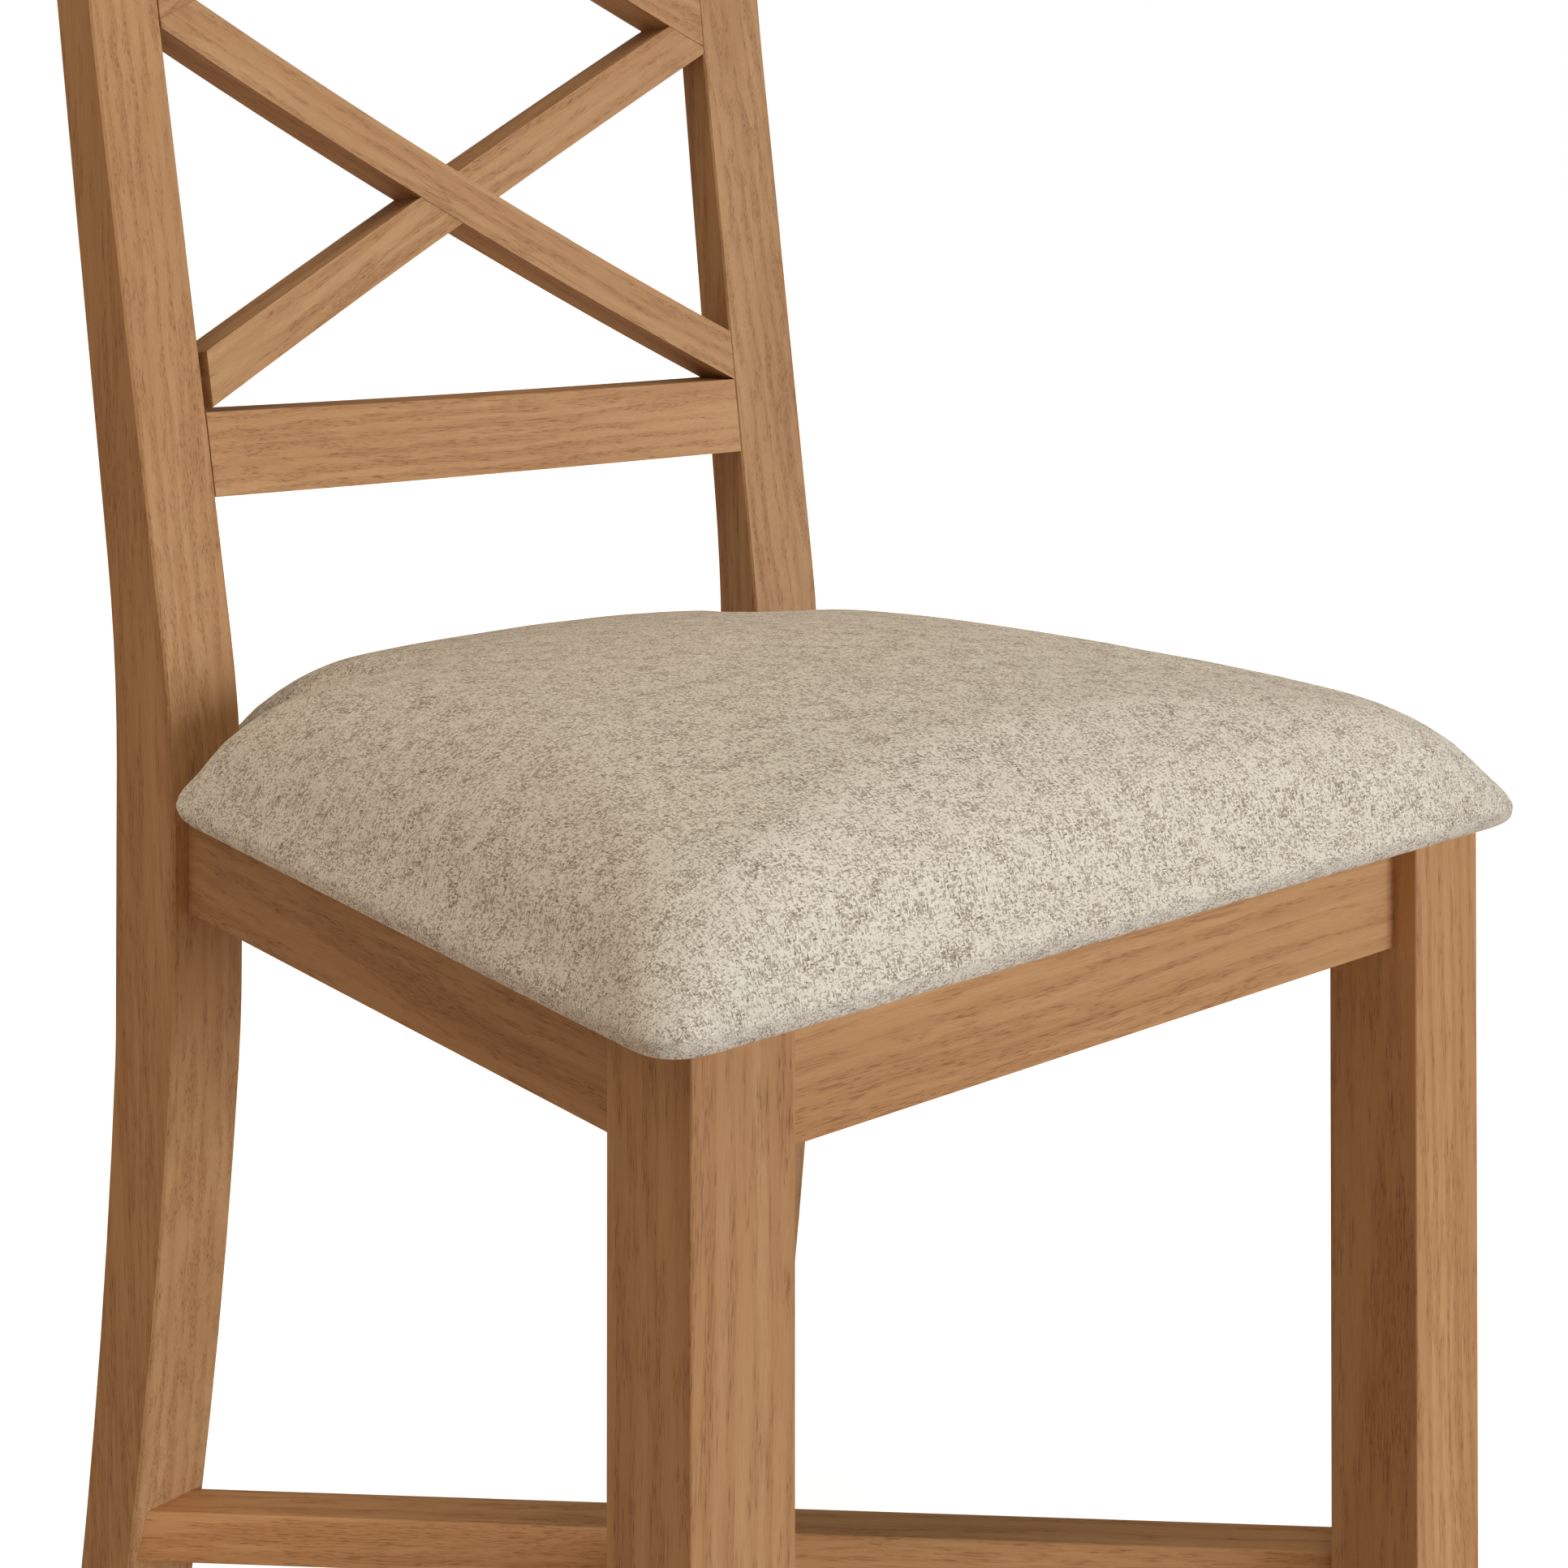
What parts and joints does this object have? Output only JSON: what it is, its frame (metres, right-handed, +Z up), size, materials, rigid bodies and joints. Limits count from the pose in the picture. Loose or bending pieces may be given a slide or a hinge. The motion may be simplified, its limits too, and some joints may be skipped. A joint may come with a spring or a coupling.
{
  "type": "cross back dining chair",
  "caption": "Side chair with a tall raked back of crossed braces, sabre rear legs, diagonal leg stretchers and an upholstered seat pad.",
  "frame": {"origin": "on the floor, under the middle of the chair's overall box", "axes": "+Z up, +X to the right and -Y forwards, seen by somebody who stands in front of the chair and looks at its back along +Y"},
  "size_m": [0.4834, 0.5596, 1.0521],
  "materials": {
    "oak": "satin lacquered golden oak with open grain",
    "beech": "plain sanded beech",
    "plywood": "plain plywood",
    "foam": "open cell seat foam",
    "seat_fabric": "oatmeal tweed upholstery weave",
    "lining": "black non-woven lining",
    "screw_steel": "zinc plated steel",
    "glide_plastic": "brown nylon"
  },
  "bodies": {
    "root": {"left_front_leg": "oak", "right_front_leg": "oak", "left_rear_post": "oak", "right_rear_post": "oak", "front_rail": "oak", "rear_rail": "oak", "left_side_rail": "oak", "right_side_rail": "oak", "lower_back_rail": "oak", "crest_rail": "oak", "lower_brace_falling": "oak", "lower_brace_rising": "oak", "upper_brace_falling": "oak", "upper_brace_rising": "oak", "left_stretcher": "oak", "right_stretcher": "oak", "stretcher_dowels": "beech", "front_left_corner_block": "beech", "front_right_corner_block": "beech", "rear_left_corner_block": "beech", "rear_right_corner_block": "beech", "corner_block_screws": "screw_steel", "seat_screws": "screw_steel", "seat_board": "plywood", "seat_foam": "foam", "seat_cover": "seat_fabric", "dust_cloth": "lining", "front_left_glide": "glide_plastic", "front_right_glide": "glide_plastic", "rear_left_glide": "glide_plastic", "rear_right_glide": "glide_plastic"}
  },
  "joints": []
}
